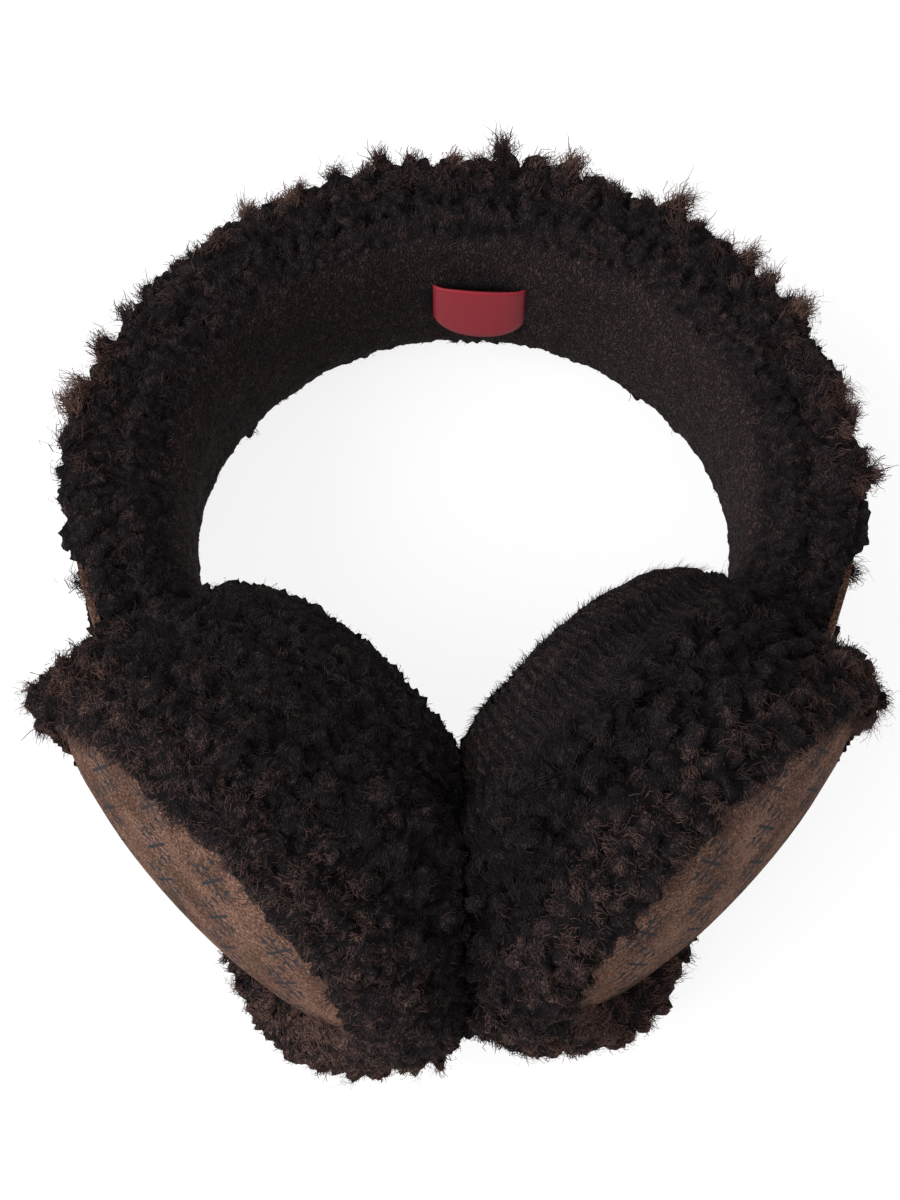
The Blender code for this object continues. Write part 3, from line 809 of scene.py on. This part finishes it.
def motif_mask(tree, place, place_matrix):
    """Near 1 on thin snow crystals and dots, which sit in staggered rows in the panel's plane."""
    inverse = place_matrix.inverted()
    mapping = add_node(tree, "ShaderNodeMapping", {"vector_type": "POINT"}, Vector=place)
    mapping.inputs["Location"].default_value = inverse.translation / MOTIF_PITCH
    mapping.inputs["Rotation"].default_value = inverse.to_euler()
    mapping.inputs["Scale"].default_value = (1 / MOTIF_PITCH,) * 3
    split = add_node(tree, "ShaderNodeSeparateXYZ", Vector=mapping.outputs["Vector"]).outputs
    stagger = maths(tree, "FRACT", maths(tree, "MULTIPLY", maths(tree, "FLOOR", split["Y"]), 0.5))
    across = maths(tree, "SUBTRACT", maths(tree, "FRACT", maths(tree, "ADD", split["X"], stagger)), 0.5)
    along = maths(tree, "SUBTRACT", maths(tree, "FRACT", split["Y"]), 0.5)

    def length_of(a, b):
        squares = maths(tree, "MULTIPLY", a, a), maths(tree, "MULTIPLY", b, b)
        return maths(tree, "SQRT", maths(tree, "ADD", *squares))

    # Six arms: each point is folded into half a sector, as u along the arm and v beside it.
    sector = math.pi / 3
    turns = maths(tree, "FRACT", maths(tree, "DIVIDE", maths(tree, "ARCTAN2", along, across), sector))
    folded = maths(tree, "MULTIPLY", maths(tree, "ABSOLUTE", maths(tree, "SUBTRACT", turns, 0.5)), sector)
    radius = length_of(across, along)
    u = maths(tree, "MULTIPLY", radius, maths(tree, "COSINE", folded))
    v = maths(tree, "MULTIPLY", radius, maths(tree, "SINE", folded))
    thin = maths(tree, "LESS_THAN", v, MOTIF_LINE / 2)
    arm = maths(tree, "MULTIPLY", thin, maths(tree, "LESS_THAN", u, ARM_LENGTH))

    # Each arm has a pair of barbs.
    from_root = maths(tree, "SUBTRACT", u, BARB_ROOT)
    rising, falling = maths(tree, "MULTIPLY", from_root, BARB_SINE), maths(tree, "MULTIPLY", v, BARB_COSINE)
    beside = maths(tree, "ABSOLUTE", maths(tree, "SUBTRACT", rising, falling))
    near = maths(tree, "LESS_THAN", beside, MOTIF_LINE / 2)
    barb = maths(tree, "MULTIPLY", near, maths(tree, "LESS_THAN", v, BARB_REACH))
    barb = maths(tree, "MULTIPLY", barb, maths(tree, "GREATER_THAN", from_root, -MOTIF_LINE / 2))
    side = maths(tree, "SUBTRACT", maths(tree, "ABSOLUTE", across), 0.5)
    dot = maths(tree, "LESS_THAN", length_of(side, along), DOT_RADIUS)
    motif = maths(tree, "MAXIMUM", maths(tree, "MAXIMUM", arm, barb), dot)
    return maths(tree, "MULTIPLY", motif, MOTIF_STRENGTH)


LABEL_COLOURS = (
    (0.0, (0.180, 0.014, 0.022)),
    (1.0, (0.280, 0.023, 0.036)),
)
LABEL_THREADS = {"X": 700.0, "Z": 520.0}


def label_material():
    """Plain woven satin ribbon: two crossing sets of threads."""
    material, tree, shader = new_material("label_satin", 0.45, 0.12)
    place = add_node(tree, "ShaderNodeTexCoord").outputs["Object"]
    threads = []
    for direction, scale in LABEL_THREADS.items():
        settings = {"bands_direction": direction}
        wave = add_node(tree, "ShaderNodeTexWave", settings, Vector=place, Scale=scale, Distortion=0.4)
        threads.append(wave.outputs["Fac"])
    weave = maths(tree, "MULTIPLY", *threads)
    tree.links.new(ramp(tree, weave, LABEL_COLOURS), shader.inputs["Base Color"])
    add_bump(tree, shader, 0.35, 0.0001, weave)
    return material


def dress_node(node, material):
    """Gives a CAD node that stays a better material."""
    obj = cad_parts[node]
    obj.data.materials.clear()
    obj.data.materials.append(material)


def grow_headband(strand, skin, everything):
    turn, place = as_arrays(arch_matrix())

    def inward_at(points):
        """Towards the middle of the arch, across the headband's ellipse."""
        local = (points - place) @ turn
        x, y = local[:, 0] / BAND_HALF_WIDTH**2, local[:, 1] / BAND_CROWN_HEIGHT**2
        return -unit(np.stack([x, y, np.zeros_like(x)], axis=1)) @ turn.T

    def outline_at(local):
        """1 on the suede's outer face, more outside it."""
        return np.hypot(local[:, 0] / BAND_HALF_WIDTH, local[:, 1] / BAND_CROWN_HEIGHT)

    def shares_at(points, normals):
        plush = zone("plush_facing", (normals * inward_at(points)).sum(1))
        return {"curly": 1 - plush, "plush": plush}

    def fit_band(points):
        """Bares the suede's edge near the cups."""
        local = (points - place) @ turn
        outline = outline_at(local)
        share = zone("band_suede_y", local[:, 1]) * (outline > BARED_OUTLINE)
        local[:, :2] *= (1 + share * (BARED_OUTLINE / outline - 1))[:, None]
        return local @ turn.T + place

    others = tree_of([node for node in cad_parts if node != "headband_wool"])
    wool = Wool("headband_wool", everything, others, shares_at, BAND_SEED, fit_band)
    wool.comb = BAND_COMB * flat_part(inward_at(wool.spots), wool.facing)
    local = (wool.spots - place) @ turn
    edge = zone("band_edge_outline", outline_at(local))
    places = {"everywhere": 1, "edge": edge, "bared": edge * zone("band_bared_y", local[:, 1])}
    wool.length = by_place(BAND_PLACES["length"], places)
    wool.tuft_scale = by_place(BAND_PLACES["tuft"], places)
    wool.tone = by_place(BAND_PLACES["tone"], places)
    wool.settle()
    wool.finish_skin(skin)
    wool.strands("headband_curls_left", strand, local[:, 0] < 0)
    wool.strands("headband_curls_right", strand, local[:, 0] >= 0)


class Cup:
    """Where the wool of one cup changes. Each place's share is worked out from points in cup coordinates."""

    def __init__(self, side):
        self.side = side
        self.facts = CUPS[side]
        self.turn, self.origin = as_arrays(cup_matrix(side))
        self.up = self.turn.T @ np.array([0, 0, 1.0])

    def local_of(self, points):
        return (points - self.origin) @ self.turn

    def world_of(self, local):
        return local @ self.turn.T + self.origin

    def height(self, local):
        """Height over the cup's middle, in panel radii."""
        return (local @ self.up) / PANEL_RADIUS

    def lower_edge(self, local):
        """1 at the panel's lower edge on the headband's side, where hardly any wool shows past the suede."""
        at_band = zone("edge_reach_y", local[:, 1]) * self.facts["edge_reach"]
        lowness = zone("edge_depth_height", at_band - self.height(local))
        return lowness * zone("edge_z", local[:, 2]) * zone("edge_y", local[:, 1])

    def foot(self, local):
        """1 on the wool that spreads on the floor before the panel, at the cup's far end."""
        lowness = zone("foot_depth_height", -self.height(local))
        return lowness * zone("foot_z", local[:, 2]) * zone("foot_y", local[:, 1])

    def corner(self, local):
        """1 on the wool beyond the panel's edge at the headband's end."""
        outer = zone("corner_y", local[:, 1]) * zone("corner_z", local[:, 2])
        return outer * zone("corner_height", self.height(local))

    def lip(self, local):
        """1 on the lip of wool that lies over the suede's edge."""
        radius = np.linalg.norm(local[:, :2], axis=1)
        return zone("lip_radius", radius) * zone("lip_z", local[:, 2]) * (1 - self.foot(local))

    def fit_rim(self, points):
        """Draws the wool in behind the panel's lower edge, and out over the floor at the far end."""
        local = self.local_of(points)
        share, spread = self.lower_edge(local)[:, None], self.foot(local)[:, None]
        radius = np.linalg.norm(local[:, :2], axis=1, keepdims=True)
        outside = radius > PANEL_RADIUS - EDGE_INSET
        wanted = PANEL_RADIUS - EDGE_INSET + np.clip(radius - PANEL_RADIUS, 0, None) * EDGE_KEPT
        scale = np.where(outside, wanted / np.maximum(radius, 1e-6), 1.0)
        corner = self.corner(local)[:, None] * outside * self.facts["corner"]
        swell = FOOT_SWELL * spread * outside
        local[:, :2] *= 1 + (scale - 1) * share + swell + CORNER_SWELL * corner
        shoulder = zone("shoulder_z", local[:, 2:]) * zone("shoulder_radius", radius)
        local[:, :2] *= 1 + shoulder * np.clip(MERGED_RADIUS / np.maximum(radius, 1e-6) - 1, 0, MERGED_LIMIT)
        local[:, 2:] += (FOOT_FORWARD * spread - EDGE_BACK * share) * outside + CORNER_FORWARD * corner
        return self.meet(points, self.world_of(local))

    def fit_ear(self, points):
        """Fills the groove between the cup's rim and its ear cushion, which read as one mass."""
        local = self.local_of(points)
        local[:, :2] *= 1 + EAR_SWELL * zone("ear_swell_z", local[:, 2:])
        local[:, :2] *= 1 + EAR_EDGE_SWELL * zone("ear_edge_z", local[:, 2:])
        local[:, 2:] += EAR_PUSH * zone("ear_push_z", local[:, 2:])
        return self.meet(points, self.world_of(local))

    def meet(self, before, after):
        """Closes the gap where the cups touch, and stops there."""
        sign = 1 if self.side == "left" else -1
        edge = (sign * before[:, 0]).max()
        near = smooth_step(edge - MEETING_REACH, edge, sign * before[:, 0])
        after[:, 0] = sign * np.minimum(sign * after[:, 0] + MEETING_MOVE * near, edge + MEETING_MOVE)
        return after

    def streaks_at(self, points):
        """Between -1 and 1: the combed wool lies in narrow bundles across its roll."""
        local = self.local_of(points)
        angle = np.arctan2(local[:, 1], local[:, 0])
        sway = STREAK_SWAY * drift(points, STREAK_SCALE, self.facts["seed"])[:, 0]
        return np.sin(STREAKS * angle + sway) * zone("streaks_z", local[:, 2])

    def rim_shares(self, points, normals):
        local = self.local_of(points)
        combed = LIP_COMBED * self.lip(local)
        if self.facts["combed"]:
            combed = np.maximum(combed, zone("combed_z", local[:, 2]))
        return {self.facts["style"]: 1 - combed, "combed": combed}

    def ear_shares(self, points, normals):
        return {"combed" if self.facts["combed"] else self.facts["style"]: np.ones(len(points))}


def steer_rim(wool, cup):
    """Sets the clumps of a cup's rim by where they stand."""
    local = cup.local_of(wool.spots)
    outward = np.broadcast_to(cup.turn[:, 2], wool.facing.shape)
    radial = unit(local * (1, 1, 0)) @ cup.turn.T
    places = {
        "everywhere": 1,
        "far_end": zone("far_end_y", local[:, 1]) * zone("far_end_height", cup.height(local)),
        "by_panel": zone("by_panel_z", local[:, 2]),
        "to_ear": zone("to_ear_z", local[:, 2]),
        "foot": cup.foot(local),
        "corner": cup.corner(local),
        "lip": cup.lip(local),
    }
    lower_edge = cup.lower_edge(local)
    comb_out = by_place(RIM_PLACES["comb_out"], places) + cup.facts["over_ear"] * places["to_ear"]
    comb_in = by_place(RIM_PLACES["comb_in"], places)
    wool.comb = flat_part(outward * comb_out[:, None] - radial * comb_in[:, None], wool.facing)
    wool.length = by_place(RIM_PLACES["length"], places) * (1 - EDGE_SHORTER * lower_edge)
    wool.tuft_scale = by_place(RIM_PLACES["tuft"], places)
    wool.tuft_scale *= (1 - lower_edge) * (1 - TO_EAR_LOWER * places["to_ear"])
    wool.tone = by_place(RIM_PLACES["tone"], places, cup.facts["rim_tone"])


def steer_ear(wool, cup):
    """Sets the clumps of a cup's ear cushion."""
    radial = unit(cup.local_of(wool.spots) * (1, 1, 0)) @ cup.turn.T
    wool.comb = cup.facts["ear_comb"] * flat_part(radial, wool.facing)
    wool.tuft_scale[:] = EAR_TUFTS
    wool.tone[:] = cup.facts["ear_tone"]


def grow_cup(side, strand, skin, everything):
    cup = Cup(side)
    seed = cup.facts["seed"]
    mirror = "right" if side == "left" else "left"
    parts = (
        ("rim", cup.rim_shares, cup.fit_rim, steer_rim, seed),
        ("ear", cup.ear_shares, cup.fit_ear, steer_ear, seed + 1),
    )
    for part, shares_at, fit, steer, part_seed in parts:
        node = f"{side}_{part}_wool"
        near_nodes = [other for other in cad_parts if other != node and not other.startswith(mirror)]
        wool = Wool(node, everything, tree_of(near_nodes), shares_at, part_seed, fit)
        steer(wool, cup)
        if cup.facts["combed"]:
            wool.streaks_at = cup.streaks_at
        wool.settle()
        wool.finish_skin(skin)
        wool.strands(f"{side}_{part}_strands", strand)


def make_label():
    """A bare ribbon, sewn down at its ends, whose middle bows out of the wool, most at its lower edge."""
    turn, place = as_arrays(arch_matrix())
    solid = (points_of(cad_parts["woven_label"].data) - place) @ turn
    low, high = solid.min(0), solid.max(0)
    middle_of_wall = np.poly1d(np.polyfit(solid[:, 0], solid[:, 1], 2))
    front = solid[solid[:, 1] < middle_of_wall(solid[:, 0])]
    lie = np.poly1d(np.polyfit(front[:, 0], front[:, 1], 2))
    u, v = np.meshgrid(np.linspace(-1, 1, LABEL_COLUMNS), np.linspace(0, 1, LABEL_ROWS))
    x = (low[0] + high[0]) / 2 + u * (high[0] - low[0]) / 2 * LABEL_SHARE + LABEL_SHIFT
    bow = (1 - u**2) * (LABEL_BOW_TOP + (LABEL_BOW_BOTTOM - LABEL_BOW_TOP) * v)
    y = lie(x) - bow + LABEL_END_DEPTH * np.abs(u) ** 8
    end = np.abs(u) ** 3
    top, bottom = high[2] - LABEL_SUNK_TOP * end, low[2] + LABEL_SUNK_BOTTOM * end
    z = top - v * (top - bottom)
    points = np.stack([x, y, z], axis=-1).reshape(-1, 3) @ turn.T + place
    first = (np.arange(LABEL_ROWS - 1)[:, None] * LABEL_COLUMNS + np.arange(LABEL_COLUMNS - 1)).ravel()
    faces = np.stack([first, first + LABEL_COLUMNS, first + LABEL_COLUMNS + 1, first + 1], axis=1)
    mesh = bpy.data.meshes.new("label")
    mesh.from_pydata(points.tolist(), [], faces.tolist())
    label = link(bpy.data.objects.new("label", mesh))
    wall = label.modifiers.new("Wall", "SOLIDIFY")
    wall.thickness = LABEL_WALL
    wall.offset = 0
    bake(label)
    label.data.shade_smooth()
    label.data.materials.clear()
    finish_piece(label, label_material())
    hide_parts("woven_label")


def make_floor():
    size = FLOOR_HALF_SIZE
    mesh = bpy.data.meshes.new("floor")
    corners = [(-size, -size, 0), (size, -size, 0), (size, size, 0), (-size, size, 0)]
    mesh.from_pydata(corners, [], [(0, 1, 2, 3)])
    floor = link(bpy.data.objects.new("floor", mesh))
    floor.location.z = -FLOOR_DROP
    material, _, shader = new_material("floor", 0.9, 0.1)
    shader.inputs["Base Color"].default_value = FLOOR_COLOUR
    shader.inputs["Emission Color"].default_value = STUDIO_WHITE
    shader.inputs["Emission Strength"].default_value = FLOOR_GLOW
    mesh.materials.append(material)


def make_sun():
    data = bpy.data.lights.new("key", "SUN")
    data.energy = KEY_STRENGTH
    data.angle = math.radians(KEY_ANGLE)
    sun = link(bpy.data.objects.new("key", data))
    sun.rotation_euler = Vector(KEY_FROM).to_track_quat("Z", "Y").to_euler()


def make_studio():
    bpy.context.scene.view_settings.view_transform = "Standard"
    world = bpy.data.worlds.new("studio")
    bpy.context.scene.world = world
    world.use_nodes = True
    background = world.node_tree.nodes["Background"]
    background.inputs["Color"].default_value = STUDIO_WHITE
    background.inputs["Strength"].default_value = WORLD_STRENGTH
    make_sun()
    make_floor()


def make_camera():
    data = bpy.data.cameras.new("camera")
    data.sensor_fit = "VERTICAL"
    data.sensor_height = CAMERA_SENSOR
    data.lens = CAMERA_LENS
    data.clip_start = CAMERA_CLIP
    camera = link(bpy.data.objects.new("camera", data))
    rise = math.radians(CAMERA_ELEVATION)
    back = Vector((0, -math.cos(rise), math.sin(rise)))
    right = Vector((1, 0, 0))
    place = Matrix((right, back.cross(right), back)).transposed().to_4x4()
    place.translation = Vector(CAMERA_AIM) + back * CAMERA_DISTANCE
    camera.matrix_world = arch_matrix() @ place
    bpy.context.scene.camera = camera


def main():
    make_camera()
    make_studio()
    strand, skin = wool_material("wool_strands"), wool_material("wool_skin", curls=0.8)
    everything = tree_of(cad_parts)
    grow_headband(strand, skin, everything)
    dress_node("headband_suede", suede_material("suede_band"))
    for side in CUPS:
        grow_cup(side, strand, skin, everything)
        dress_node(f"{side}_cup_suede", suede_material(f"suede_{side}_panel", cup_matrix(side)))
    make_label()


main()
